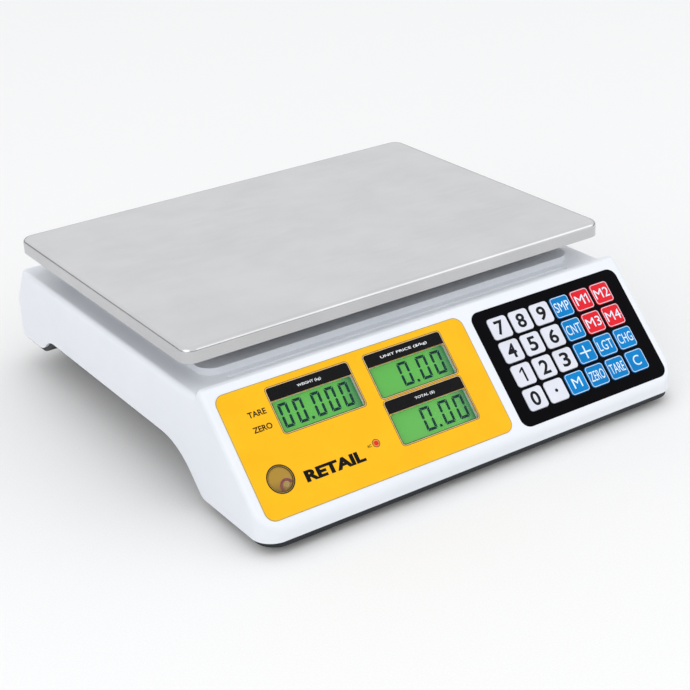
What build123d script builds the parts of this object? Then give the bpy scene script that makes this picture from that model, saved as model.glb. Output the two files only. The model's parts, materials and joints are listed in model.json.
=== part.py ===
"""Retail price-computing counter scale, one STEP file per physical piece.

Millimetres. +Z up, -Y towards the operator, +X to the operator's right.
The origin is on the counter under the middle of the body's footprint.
"""

import os
from math import cos, radians, sin, tan

from build123d import *

os.makedirs("parts", exist_ok=True)

# ---- driving dimensions: overall body ----
WIDTH = 340.0
DEPTH = 362.0
FRONT = -DEPTH / 2
REAR = DEPTH / 2
WALL = 2.5
PLAN_CORNER_R = 15.0
PLAN_MARGIN = 0.06
DECK_Z = 81.5
EDGE_R = 4.0
BELOW_ALL = -20.0
ABOVE_ALL = 130.0

# side profile of the body, as (y, z)
PANEL_TILT = 46.0
PANEL_SLOPE = tan(radians(PANEL_TILT))
RIDGE_FRONT = (-114.0, 87.4)
PANEL_FOOT = (FRONT, RIDGE_FRONT[1] - (RIDGE_FRONT[0] - FRONT) * PANEL_SLOPE)
RIDGE_REAR = (-109.5, 87.4)
DECK_FRONT = (-105.5, DECK_Z)
DECK_REAR = (157.0, DECK_Z)
REAR_KNEE = (177.0, 48.0)
REAR_TOE = (REAR, 36.0)
PANEL_FOOT_R = 10.0
RIDGE_R = 1.8
REAR_KNEE_R = 18.0

# wavy lower edge of the body, as (y, z) of the tray's underside
FRONT_LOW = 5.5
ARCH_Z = 33.6
REAR_LOW = 22.0
FRONT_RISE = ((-105.5, FRONT_LOW), (-77.4, ARCH_Z))
FRONT_RISE_R = (8.0, 51.0)
REAR_DROP = ((119.5, ARCH_Z), (133.0, REAR_LOW))
REAR_DROP_R = (22.0, 18.0)
TRAY_T = 3.5
TRAY_SIDE_INSET = 2.6
TRAY_END_INSET = 0.4
TRAY_LIP_H = 4.5
TRAY_LIP_T = 2.0

# raised plateau round the platform, on the deck
PLATEAU_X = 152.0
PLATEAU_Y = (-89.0, 140.0)
PLATEAU_H = 5.0
PLATEAU_R = 12.0
DECK_GROOVE_L = 280.0
DECK_GROOVE_W = 5.5
DECK_GROOVE_Y = -96.5
DECK_GROOVE_DEPTH = 1.2

# operator panel: local x to the right, local y up the slope, local z out
PANEL_Y = -129.6
PANEL_Z = RIDGE_FRONT[1] - (RIDGE_FRONT[0] - PANEL_Y) * PANEL_SLOPE
PANEL_OUT = (0.0, -sin(radians(PANEL_TILT)), cos(radians(PANEL_TILT)))
PANEL = Plane(origin=(0.0, PANEL_Y, PANEL_Z), x_dir=(1, 0, 0), z_dir=PANEL_OUT)
SHEET_SEAT = 0.4
SHEET_T = 0.6
LABEL_X = (-163.5, 26.5)
LABEL_Y = (-68.5, 17.0)
KEYPAD_X = (33.5, 163.0)
KEYPAD_Y = (-70.5, 15.3)
SHEET_R = 7.0

# display windows in the panel: centre x, centre y of the seen area
WINDOW_W = 60.0
WINDOW_H = 21.5
WINDOWS = ((-97.9, -8.2), (-24.4, -8.2), (-25.0, -41.2))
WINDOW_T = 1.0
WINDOW_LEDGE = 1.5
LCD_W = 66.0
LCD_H = 27.0
LCD_T = 5.0
LCD_TOP = -2.6
DISPLAY_BOARD_T = 1.6

# keys
KEY_COLUMNS = 6
KEY_ROWS = 4
KEY_PITCH_X = 18.27
KEY_PITCH_Y = 17.87
KEY_FIRST_X = 52.05
KEY_W = 15.9
KEY_H = 15.6
KEY_R = 2.4
KEY_PROUD = 0.7
KEY_DEEP = 1.4
KEY_FLANGE = 0.7
KEY_FLANGE_T = 0.6
KEY_GAP = 0.3
DOME_R = 5.0
DOME_H = 0.4
KEY_NAMES = (
    ("7", "8", "9", "sample", "m1", "m2"),
    ("4", "5", "6", "count", "m3", "m4"),
    ("1", "2", "3", "plus", "light", "change"),
    ("0", "point", "memory", "zero_set", "tare", "clear"),
)

# level vial and power light on the panel
LEVEL_XY = (-144.0, -45.0)
LEVEL_R = 9.3
LEVEL_CUP_T = 0.9
LEVEL_DEEP = 16.0
LEVEL_LIQUID_Z = 31.0
LIGHT_XY = (-73.0, -44.6)
LIGHT_R = 1.5
LIGHT_PROUD = 0.9
LIGHT_DEEP = 7.0

# customer side: local x to the reader's right, local y up the slope
REAR_RUN = REAR_KNEE[0] - DECK_REAR[0]
REAR_FALL = DECK_REAR[1] - REAR_KNEE[1]
REAR_MID = ((DECK_REAR[0] + REAR_KNEE[0]) / 2, (DECK_REAR[1] + REAR_KNEE[1]) / 2)
CUSTOMER = Plane(
    origin=(0.0, REAR_MID[0], REAR_MID[1]), x_dir=(-1, 0, 0), z_dir=(0.0, REAR_FALL, REAR_RUN)
)
CUSTOMER_W = 214.0
CUSTOMER_H = 25.0
CUSTOMER_UP = 1.2
CUSTOMER_WINDOW_W = 54.0
CUSTOMER_WINDOW_H = 14.0
CUSTOMER_WINDOW_X = (-70.0, 0.0, 70.0)
CUSTOMER_LCD_W = 204.0
CUSTOMER_LCD_H = 20.0

# weighing pan and platform
PAN_Y = 26.0
PAN_L = 340.0
PAN_W = 250.0
PAN_TOP = 110.0
PAN_LIP = 10.5
PAN_T = 1.0
PAN_PLAN_R = 9.0
PAN_BEND_R = 3.2
SPIDER_Z = 91.0
SPIDER_T = 8.0
SPIDER_ARM_W = 22.0
SPIDER_REACH = (128.0, 83.0)
SPIDER_HUB = (150.0, 70.0)
SPIDER_TIP_R = 13.0
SPIDER_RIB_T = 3.0
SPIDER_FOOT = (38.0, 30.0)
PAD_R = 9.0
PAD_STEM_R = 5.0
STUD_R = 2.5
STUD_GAP = 0.5
STUD_L = 9.0

# load cell
CELL_L = 130.0
CELL_W = 30.0
CELL_H = 22.0
CELL_Z = 44.0
CELL_EYE_R = 7.5
CELL_EYE_X = 14.0
CELL_SLOT_H = 3.0
CELL_END_X = 46.0
CELL_BOLT_PITCH = 19.0
CELL_BOLT_R = 3.0
CELL_HEAD_R = 5.0
CELL_HEAD_H = 6.0
SPACER_L = 36.0
SHAFT_HOLE = (54.0, 44.0)
STOP_GAP = 0.8

# levelling feet
FEET = {
    "front_left": (-118.0, -132.0),
    "front_right": (118.0, -132.0),
    "rear_left": (-118.0, 118.0),
    "rear_right": (118.0, 118.0),
}
SOLE_R = 12.0
SOLE_H = 8.0
STEM_R = 4.0
STEM_GAP = 0.05
STEM_BOTTOM = 3.0
STEM_TOP = 29.0
WHEEL_R = 9.0
WHEEL_Z = (8.6, 12.4)
WHEEL_TEETH = 18
FOOT_POST_R = 14.0
FOOT_POCKET_R = 14.0
FOOT_POCKET_TOP = 16.0
FOOT_POST_TOP = {"front": 32.0, "rear": 40.0}

# battery
BATTERY = (101.0, 70.0, 47.0)
BATTERY_Y = 111.0
BATTERY_Z = 16.6
BAY_GAP = 3.0
BAY_WALL = 3.0
BAY_BOTTOM = 12.0
COVER_T = 2.0
COVER_Z = 14.0
COVER_GRIP = 1.7
COVER_GAP = 0.3

# electrics
SWITCH_XY = (138.0, 86.0)
SWITCH_HOLE = (13.0, 19.0)
SWITCH_FLANGE = (15.0, 21.0)
SWITCH_DEEP = 15.0
ROCKER = (10.0, 14.0)
ROCKER_WELL = (10.8, 16.4)
ROCKER_PIVOT_Z = ARCH_Z + 2.0
TRUNNION_R = 1.2
TRUNNION_OUT = 0.8
TRUNNION_GAP = 0.1
INLET_YZ = (120.0, 54.0)
INLET_FACE = (26.0, 18.0)
INLET_BODY = (20.0, 12.0)
INLET_DEEP = 18.0
MAIN_BOARD_XY = (118.0, 20.0)
MAIN_BOARD = (64.0, 92.0)
MAIN_BOARD_Z = 43.0
TRANSFORMER_XY = (-122.0, 52.0)

# screws that close the case, as (x, y, underside z)
CASE_SCREWS = (
    (-159.5, 88.0, ARCH_Z),
    (159.5, 88.0, ARCH_Z),
    (-159.5, -40.0, ARCH_Z),
    (159.5, -40.0, ARCH_Z),
    (-159.5, -130.0, FRONT_LOW),
    (159.5, -130.0, FRONT_LOW),
)
CASE_SCREW_R = 2.0
CASE_HEAD_R = 3.6
CASE_BOSS_R = 6.6
CASE_POST_R = 8.6
CASE_BOSS_H = 8.0
CASE_POST_H = 22.0
CASE_SINK = 4.0


def save(piece, name):
    """Label one finished piece and write its STEP file."""
    piece.part.label = name
    export_step(piece.part, f"parts/{name}.step")


def box_between(low, high, mode=Mode.ADD):
    """Axis-aligned box from its low corner to its high corner."""
    centre = [(a + b) / 2 for a, b in zip(low, high)]
    size = [b - a for a, b in zip(low, high)]
    with Locations(tuple(centre)):
        Box(*size, mode=mode)


def column(x, y, radius, low, high, mode=Mode.ADD):
    """Upright round column between two heights."""
    with Locations((x, y, (low + high) / 2)):
        Cylinder(radius, high - low, mode=mode)


def body_profile(inset):
    """Side profile of the closed body, moved inwards by inset."""
    with BuildSketch(Plane.YZ) as profile:
        with BuildLine():
            Polyline(
                (FRONT, BELOW_ALL),
                PANEL_FOOT,
                RIDGE_FRONT,
                RIDGE_REAR,
                DECK_FRONT,
                DECK_REAR,
                REAR_KNEE,
                REAR_TOE,
                (REAR, BELOW_ALL),
                close=True,
            )
        make_face()
        fillet(profile.vertices().sort_by_distance((*PANEL_FOOT, 0))[0], PANEL_FOOT_R)
        fillet(profile.vertices().sort_by_distance((*RIDGE_FRONT, 0))[0], RIDGE_R)
        if inset:
            offset(amount=-inset, kind=Kind.INTERSECTION, mode=Mode.REPLACE)
    return profile.sketch


def plan(inset_x, inset_y, corner):
    """Footprint with rounded corners, below everything."""
    with BuildSketch(Plane.XY.offset(BELOW_ALL)) as footprint:
        RectangleRounded(WIDTH - 2 * inset_x, DEPTH - 2 * inset_y, corner)
    return footprint.sketch


def below_edge(lift):
    """Region under the body's wavy lower edge, raised by lift."""
    bends = [(y, z + lift) for y, z in FRONT_RISE + REAR_DROP]
    with BuildSketch(Plane.YZ) as region:
        with BuildLine():
            Polyline(
                (-DEPTH, 4 * BELOW_ALL),
                (-DEPTH, bends[0][1]),
                *bends,
                (DEPTH, bends[-1][1]),
                (DEPTH, 4 * BELOW_ALL),
                close=True,
            )
        make_face()
        for bend, radius in zip(bends, FRONT_RISE_R + REAR_DROP_R):
            fillet(region.vertices().sort_by_distance((*bend, 0))[0], radius)
    return region.sketch


def closed_body(inset):
    """Body as a solid block with its plan corners rounded."""
    with BuildPart() as block:
        extrude(body_profile(inset), amount=WIDTH / 2 - inset, both=True)
        footprint = plan(inset, inset - PLAN_MARGIN, PLAN_CORNER_R - inset)
        extrude(footprint, amount=ABOVE_ALL, mode=Mode.INTERSECT)
        if not inset:
            sides = block.faces().filter_by(Axis.X).sort_by(Axis.X)
            rims = sides[0].edges() + sides[-1].edges()
            tops = [e for e in rims if e.center().Z > DECK_Z / 2 and abs(e.tangent_at(0.5).Z) < 0.9]
            fillet(tops, EDGE_R)
    return block.part


def sheet_outline(span_x, span_y, radius):
    """Rounded rectangle from two spans, on the current sketch plane."""
    with Locations(((span_x[0] + span_x[1]) / 2, (span_y[0] + span_y[1]) / 2)):
        RectangleRounded(span_x[1] - span_x[0], span_y[1] - span_y[0], radius)


def key_places():
    """Centre of each key on the panel, by row and column."""
    return [
        (row, col, KEY_FIRST_X + col * KEY_PITCH_X, -row * KEY_PITCH_Y)
        for row in range(KEY_ROWS)
        for col in range(KEY_COLUMNS)
    ]


def make_upper_housing():
    """White moulded shell with the deck, plateau, panel seats and bosses."""
    with BuildPart() as bosses:
        for x, y, low in CASE_SCREWS:
            column(x, y, CASE_POST_R, low + CASE_BOSS_H, low + CASE_BOSS_H + CASE_POST_H)
        with BuildSketch(PANEL.offset(LCD_TOP - LCD_T)):
            with Locations((-135, 11), (-135, -56), (14, 14), (14, -56)):
                Circle(3.5)
        extrude(amount=LCD_T + WALL / 2)
        add(closed_body(WALL / 2), mode=Mode.INTERSECT)
    with BuildPart() as shell:
        add(closed_body(0))
        with BuildSketch(Plane.XY.offset(DECK_Z - WALL / 2)):
            sheet_outline((-PLATEAU_X, PLATEAU_X), PLATEAU_Y, PLATEAU_R)
        extrude(amount=PLATEAU_H + WALL / 2)
        fillet(shell.faces().sort_by(Axis.Z)[-1].edges(), 2.0)
        add(closed_body(WALL), mode=Mode.SUBTRACT)
        inner = (PLATEAU_X - WALL, PLATEAU_Y[0] + WALL, PLATEAU_Y[1] - WALL)
        with BuildSketch(Plane.XY.offset(DECK_Z - 2 * WALL)):
            sheet_outline((-inner[0], inner[0]), inner[1:], PLATEAU_R - WALL)
        extrude(amount=PLATEAU_H + WALL, mode=Mode.SUBTRACT)
        extrude(below_edge(TRAY_T), amount=WIDTH, both=True, mode=Mode.SUBTRACT)
        add(bosses.part)
        for x, y, low in CASE_SCREWS:
            column(x, y, CASE_SCREW_R, low, low + CASE_BOSS_H + 13, mode=Mode.SUBTRACT)
        with BuildSketch(Plane.XY.offset(DECK_Z)):
            with Locations((0, DECK_GROOVE_Y)):
                SlotOverall(DECK_GROOVE_L, DECK_GROOVE_W)
        extrude(amount=-DECK_GROOVE_DEPTH, mode=Mode.SUBTRACT)
        with BuildSketch(Plane.XY.offset(DECK_Z - WALL)):
            with Locations((CELL_END_X, PAN_Y)):
                RectangleRounded(*SHAFT_HOLE, 5)
        extrude(amount=PLATEAU_H + 2 * WALL, mode=Mode.SUBTRACT)
        with BuildSketch(PANEL):
            sheet_outline(LABEL_X, LABEL_Y, SHEET_R)
            sheet_outline(KEYPAD_X, KEYPAD_Y, SHEET_R)
        extrude(amount=-SHEET_SEAT, mode=Mode.SUBTRACT)
        with BuildSketch(PANEL.offset(-WALL - 1)):
            with Locations(*WINDOWS):
                RectangleRounded(WINDOW_W, WINDOW_H, 1.5)
            with Locations(LEVEL_XY):
                Circle(LEVEL_R)
            with Locations(LIGHT_XY):
                Circle(LIGHT_R)
        extrude(amount=WALL + 2, mode=Mode.SUBTRACT)
        with BuildSketch(PANEL.offset(-SHEET_SEAT - WINDOW_T)):
            with Locations(*WINDOWS):
                RectangleRounded(WINDOW_W + 2 * WINDOW_LEDGE, WINDOW_H + 2 * WINDOW_LEDGE, 2)
        extrude(amount=WINDOW_T + SHEET_SEAT, mode=Mode.SUBTRACT)
        with BuildSketch(PANEL.offset(-WALL - 1)):
            middle_x = KEY_FIRST_X + (KEY_COLUMNS - 1) * KEY_PITCH_X / 2
            with Locations((middle_x, -(KEY_ROWS - 1) * KEY_PITCH_Y / 2)):
                RectangleRounded(KEY_COLUMNS * KEY_PITCH_X, KEY_ROWS * KEY_PITCH_Y, 3)
        extrude(amount=WALL + 2, mode=Mode.SUBTRACT)
        with BuildSketch(CUSTOMER):
            with Locations((0, CUSTOMER_UP)):
                RectangleRounded(CUSTOMER_W, CUSTOMER_H, 4)
        extrude(amount=-SHEET_SEAT, mode=Mode.SUBTRACT)
        with BuildSketch(CUSTOMER.offset(-WALL - 1)):
            with Locations(*[(x, CUSTOMER_UP) for x in CUSTOMER_WINDOW_X]):
                RectangleRounded(CUSTOMER_WINDOW_W, CUSTOMER_WINDOW_H, 1.5)
        extrude(amount=WALL + 2, mode=Mode.SUBTRACT)
        with BuildSketch(Plane.YZ.offset(WIDTH / 2 - 1.2)):
            with Locations(INLET_YZ):
                RectangleRounded(*INLET_FACE, 2)
        extrude(amount=5, mode=Mode.SUBTRACT)
        with BuildSketch(Plane.YZ.offset(WIDTH / 2 - 5)):
            with Locations(INLET_YZ):
                RectangleRounded(*INLET_BODY, 1.5)
        extrude(amount=9, mode=Mode.SUBTRACT)
    save(shell, "upper_housing")


def make_base_tray():
    """Black moulded underside with foot posts, battery bay and mounts."""
    bay_x = BATTERY[0] / 2 + BAY_GAP
    bay_y = (BATTERY_Y - BATTERY[1] / 2 - BAY_GAP, BATTERY_Y + BATTERY[1] / 2 + BAY_GAP)
    floor_top = ARCH_Z + TRAY_T
    inset = TRAY_SIDE_INSET + TRAY_LIP_T
    with BuildPart() as hollow:
        extrude(plan(inset, WALL + TRAY_LIP_T, PLAN_CORNER_R - inset), amount=ABOVE_ALL)
        extrude(below_edge(TRAY_T), amount=WIDTH, both=True, mode=Mode.SUBTRACT)
    with BuildPart() as outside:
        extrude(plan(-5, -5, PLAN_CORNER_R), amount=ABOVE_ALL)
        lip = plan(TRAY_SIDE_INSET, WALL + 0.2, PLAN_CORNER_R - TRAY_SIDE_INSET)
        extrude(lip, amount=ABOVE_ALL, mode=Mode.SUBTRACT)
        extrude(below_edge(TRAY_T), amount=WIDTH, both=True, mode=Mode.SUBTRACT)
    with BuildPart() as tray:
        extrude(below_edge(TRAY_T + TRAY_LIP_H), amount=WIDTH, both=True)
        outline = plan(TRAY_SIDE_INSET, TRAY_END_INSET, PLAN_CORNER_R - 1)
        extrude(outline, amount=ABOVE_ALL, mode=Mode.INTERSECT)
        extrude(below_edge(0), amount=WIDTH, both=True, mode=Mode.SUBTRACT)
        add(hollow.part, mode=Mode.SUBTRACT)
        add(outside.part, mode=Mode.SUBTRACT)
        for name, (x, y) in FEET.items():
            post_top = FOOT_POST_TOP[name.split("_")[0]]
            column(x, y, FOOT_POST_R, FOOT_POCKET_TOP, post_top)
            if y < 0:
                column(x, y, FOOT_POST_R + BAY_WALL, FRONT_LOW, FOOT_POCKET_TOP + BAY_WALL)
                column(x, y, FOOT_POCKET_R, FRONT_LOW, FOOT_POCKET_TOP, mode=Mode.SUBTRACT)
            column(x, y, STEM_R + STEM_GAP, FOOT_POCKET_TOP, post_top, mode=Mode.SUBTRACT)
        box_between(
            (-bay_x - BAY_WALL, bay_y[0] - BAY_WALL, BAY_BOTTOM),
            (bay_x + BAY_WALL, bay_y[1] + BAY_WALL, floor_top + 6),
        )
        box_between(
            (-bay_x, bay_y[0], BAY_BOTTOM - 1), (bay_x, bay_y[1], floor_top + 7), mode=Mode.SUBTRACT
        )
        box_between(
            (-bay_x - COVER_GRIP - COVER_GAP, bay_y[0], COVER_Z - COVER_GAP),
            (bay_x + COVER_GRIP + COVER_GAP, REAR, COVER_Z + COVER_T + COVER_GAP),
            mode=Mode.SUBTRACT,
        )
        box_between((-bay_x, bay_y[1] - 1, BAY_BOTTOM - 1), (bay_x, REAR, COVER_Z), mode=Mode.SUBTRACT)
        for x, y, low in CASE_SCREWS:
            column(x, y, CASE_BOSS_R, low, low + CASE_BOSS_H)
            column(x, y, CASE_HEAD_R + 0.4, low, low + CASE_SINK, mode=Mode.SUBTRACT)
            column(x, y, CASE_SCREW_R + 0.2, low, low + CASE_BOSS_H, mode=Mode.SUBTRACT)
        for side in (-1, 1):
            box_between(
                (-CELL_END_X - SPACER_L / 2, PAN_Y + side * 23 - 2, ARCH_Z),
                (CELL_END_X + SPACER_L / 2, PAN_Y + side * 23 + 2, floor_top + 10),
            )
        column(CELL_END_X + 12, PAN_Y, 6, ARCH_Z, CELL_Z - STOP_GAP)
        for shift in (-CELL_BOLT_PITCH / 2, CELL_BOLT_PITCH / 2):
            column(-CELL_END_X + shift, PAN_Y, CELL_BOLT_R + 0.3, ARCH_Z, CELL_Z, mode=Mode.SUBTRACT)
        for x in (-1, 1):
            for y in (-1, 1):
                post_x = MAIN_BOARD_XY[0] + x * (MAIN_BOARD[0] / 2 - 5)
                post_y = MAIN_BOARD_XY[1] + y * (MAIN_BOARD[1] / 2 - 5)
                column(post_x, post_y, 3.5, ARCH_Z, MAIN_BOARD_Z)
                column(post_x, post_y, 1.4, MAIN_BOARD_Z, MAIN_BOARD_Z + 2.4)
        with Locations((*SWITCH_XY, ARCH_Z + TRAY_T / 2)):
            Box(*SWITCH_HOLE, TRAY_T + 2, mode=Mode.SUBTRACT)
        with Locations((*SWITCH_XY, ARCH_Z)):
            Box(SWITCH_FLANGE[0] + 0.4, SWITCH_FLANGE[1] + 0.4, 3, mode=Mode.SUBTRACT)
    save(tray, "base_tray")


def make_display_overlay():
    """Yellow printed sheet with the three display apertures."""
    with BuildPart() as sheet:
        with BuildSketch(PANEL.offset(-SHEET_SEAT)):
            sheet_outline((LABEL_X[0] + 0.1, LABEL_X[1] - 0.1), (LABEL_Y[0] + 0.1, LABEL_Y[1] - 0.1), SHEET_R)
            with Locations(*WINDOWS):
                RectangleRounded(WINDOW_W, WINDOW_H, 1.5, mode=Mode.SUBTRACT)
            with Locations(LEVEL_XY):
                Circle(LEVEL_R, mode=Mode.SUBTRACT)
            with Locations(LIGHT_XY):
                Circle(LIGHT_R, mode=Mode.SUBTRACT)
        extrude(amount=SHEET_T)
    save(sheet, "display_overlay")


def make_keypad_overlay():
    """Black printed sheet with one aperture per key."""
    with BuildPart() as sheet:
        with BuildSketch(PANEL.offset(-SHEET_SEAT)):
            sheet_outline(
                (KEYPAD_X[0] + 0.1, KEYPAD_X[1] - 0.1), (KEYPAD_Y[0] + 0.1, KEYPAD_Y[1] - 0.1), SHEET_R
            )
            with Locations(*[(x, y) for row, col, x, y in key_places()]):
                RectangleRounded(
                    KEY_W + 2 * KEY_GAP, KEY_H + 2 * KEY_GAP, KEY_R + KEY_GAP, mode=Mode.SUBTRACT
                )
        extrude(amount=SHEET_T)
    save(sheet, "keypad_overlay")


def make_display_windows():
    """Three clear windows, let in under the yellow sheet."""
    with BuildPart() as panes:
        with BuildSketch(PANEL.offset(-SHEET_SEAT - WINDOW_T)):
            with Locations(*WINDOWS):
                RectangleRounded(WINDOW_W + 2 * WINDOW_LEDGE - 0.2, WINDOW_H + 2 * WINDOW_LEDGE - 0.2, 2)
        extrude(amount=WINDOW_T)
    save(panes, "display_windows")


def make_lcd_modules():
    """Three glass displays on their backlight blocks, behind the windows."""
    with BuildPart() as modules:
        with BuildSketch(PANEL.offset(LCD_TOP - LCD_T)):
            with Locations(*WINDOWS):
                Rectangle(LCD_W, LCD_H)
        extrude(amount=LCD_T - 1.5)
        with BuildSketch(PANEL.offset(LCD_TOP - 1.5)):
            with Locations(*WINDOWS):
                Rectangle(LCD_W - 2, LCD_H - 2)
        extrude(amount=1.5)
    save(modules, "lcd_modules")


def make_display_board():
    """Circuit board that carries the three displays."""
    with BuildPart() as board:
        with BuildSketch(PANEL.offset(LCD_TOP - LCD_T - DISPLAY_BOARD_T)):
            sheet_outline((-141, 20), (-62, 17), 2)
            with Locations((-135, 11), (-135, -56), (14, 14), (14, -56)):
                Circle(1.6, mode=Mode.SUBTRACT)
            with Locations(LEVEL_XY):
                Circle(LEVEL_R + 1, mode=Mode.SUBTRACT)
        extrude(amount=DISPLAY_BOARD_T)
        with BuildSketch(PANEL.offset(LCD_TOP - LCD_T - DISPLAY_BOARD_T)):
            with Locations((-100, -20), (-60, -20), (-20, -20)):
                Rectangle(14, 14)
            with Locations((-60, -48)):
                Rectangle(26, 6)
        extrude(amount=-2.2)
    save(board, "display_board")


def make_keypad_board():
    """Circuit board under the keys."""
    middle_x = KEY_FIRST_X + (KEY_COLUMNS - 1) * KEY_PITCH_X / 2
    middle_y = -(KEY_ROWS - 1) * KEY_PITCH_Y / 2
    with BuildPart() as board:
        with BuildSketch(PANEL.offset(-WALL - DISPLAY_BOARD_T)):
            with Locations((middle_x, middle_y)):
                RectangleRounded(KEY_COLUMNS * KEY_PITCH_X + 8, KEY_ROWS * KEY_PITCH_Y + 6, 3)
        extrude(amount=DISPLAY_BOARD_T)
        with BuildSketch(PANEL.offset(-WALL - DISPLAY_BOARD_T)):
            with Locations((middle_x - 30, middle_y)):
                Rectangle(8, 30)
        extrude(amount=-4)
    save(board, "keypad_board")


def make_key_domes():
    """Snap domes, one under each key."""
    with BuildPart() as domes:
        with BuildSketch(PANEL.offset(-WALL)):
            with Locations(*[(x, y) for row, col, x, y in key_places()]):
                Circle(DOME_R)
        extrude(amount=DOME_H, taper=35)
    save(domes, "key_domes")


def make_keys():
    """Raised key caps, each with a retaining flange behind the sheet."""
    for row, col, x, y in key_places():
        with BuildPart() as key:
            with BuildSketch(PANEL.offset(-KEY_DEEP)):
                with Locations((x, y)):
                    RectangleRounded(KEY_W + 2 * KEY_FLANGE, KEY_H + 2 * KEY_FLANGE, KEY_R)
            extrude(amount=KEY_FLANGE_T)
            with BuildSketch(PANEL.offset(-KEY_DEEP)):
                with Locations((x, y)):
                    RectangleRounded(KEY_W, KEY_H, KEY_R)
            extrude(amount=KEY_DEEP + KEY_PROUD)
            top = key.faces().sort_by(Axis((0, 0, 0), PANEL_OUT))[-1]
            fillet(top.edges(), 0.35)
        save(key, f"key_{KEY_NAMES[row][col]}")


def make_level_vial():
    """Spirit level: a cup square to the panel with the vial flat in it."""
    with BuildPart() as bowl:
        with BuildSketch(PANEL.offset(-LEVEL_DEEP)):
            with Locations(LEVEL_XY):
                Circle(LEVEL_R - LEVEL_CUP_T)
        extrude(amount=LEVEL_DEEP + 2)
        box_between((-WIDTH, -DEPTH, BELOW_ALL), (WIDTH, DEPTH, LEVEL_LIQUID_Z), mode=Mode.SUBTRACT)
    with BuildPart() as level:
        with BuildSketch(PANEL.offset(-LEVEL_DEEP)):
            with Locations(LEVEL_XY):
                Circle(LEVEL_R)
        extrude(amount=LEVEL_DEEP + 0.2)
        add(bowl.part, mode=Mode.SUBTRACT)
    save(level, "level_vial")


def make_power_light():
    """Round light pipe of the mains indicator."""
    with BuildPart() as light:
        with BuildSketch(PANEL.offset(-LIGHT_DEEP)):
            with Locations(LIGHT_XY):
                Circle(LIGHT_R)
        extrude(amount=LIGHT_DEEP + LIGHT_PROUD)
        tip = light.faces().sort_by(Axis((0, 0, 0), PANEL_OUT))[-1]
        fillet(tip.edges(), 0.6)
    save(light, "power_light")


def make_customer_side():
    """Printed sheet and display for the customer, on the rear slope."""
    with BuildPart() as sheet:
        with BuildSketch(CUSTOMER.offset(-SHEET_SEAT)):
            with Locations((0, CUSTOMER_UP)):
                RectangleRounded(CUSTOMER_W - 0.2, CUSTOMER_H - 0.2, 4)
            with Locations(*[(x, CUSTOMER_UP) for x in CUSTOMER_WINDOW_X]):
                RectangleRounded(CUSTOMER_WINDOW_W, CUSTOMER_WINDOW_H, 1.5, mode=Mode.SUBTRACT)
        extrude(amount=SHEET_T)
    save(sheet, "customer_overlay")
    with BuildPart() as display:
        with BuildSketch(CUSTOMER.offset(LCD_TOP - LCD_T)):
            with Locations((0, CUSTOMER_UP)):
                Rectangle(CUSTOMER_LCD_W, CUSTOMER_LCD_H)
        extrude(amount=LCD_T)
        with BuildSketch(CUSTOMER.offset(LCD_TOP)):
            with Locations(*[(x, CUSTOMER_UP) for x in CUSTOMER_WINDOW_X]):
                RectangleRounded(CUSTOMER_WINDOW_W - 0.4, CUSTOMER_WINDOW_H - 0.4, 1.5)
        extrude(amount=1.2)
    save(display, "customer_lcd")


def corners_of(reach_x, reach_y):
    """Four corner points round the pan's centre."""
    return [(x * reach_x, PAN_Y + y * reach_y) for x in (-1, 1) for y in (-1, 1)]


def make_pan():
    """Pressed stainless pan with a turned-down lip."""
    with BuildPart() as pan:
        with BuildSketch(Plane.XY.offset(PAN_TOP - PAN_LIP)):
            with Locations((0, PAN_Y)):
                RectangleRounded(PAN_L, PAN_W, PAN_PLAN_R)
        extrude(amount=PAN_LIP)
        fillet(pan.faces().sort_by(Axis.Z)[-1].edges(), PAN_BEND_R)
        offset(amount=-PAN_T, openings=pan.faces().sort_by(Axis.Z)[0])
        for x, y in corners_of(*SPIDER_REACH):
            column(x, y, STUD_R, PAN_TOP - PAN_T - STUD_L, PAN_TOP - PAN_T / 2)
    save(pan, "pan")


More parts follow.
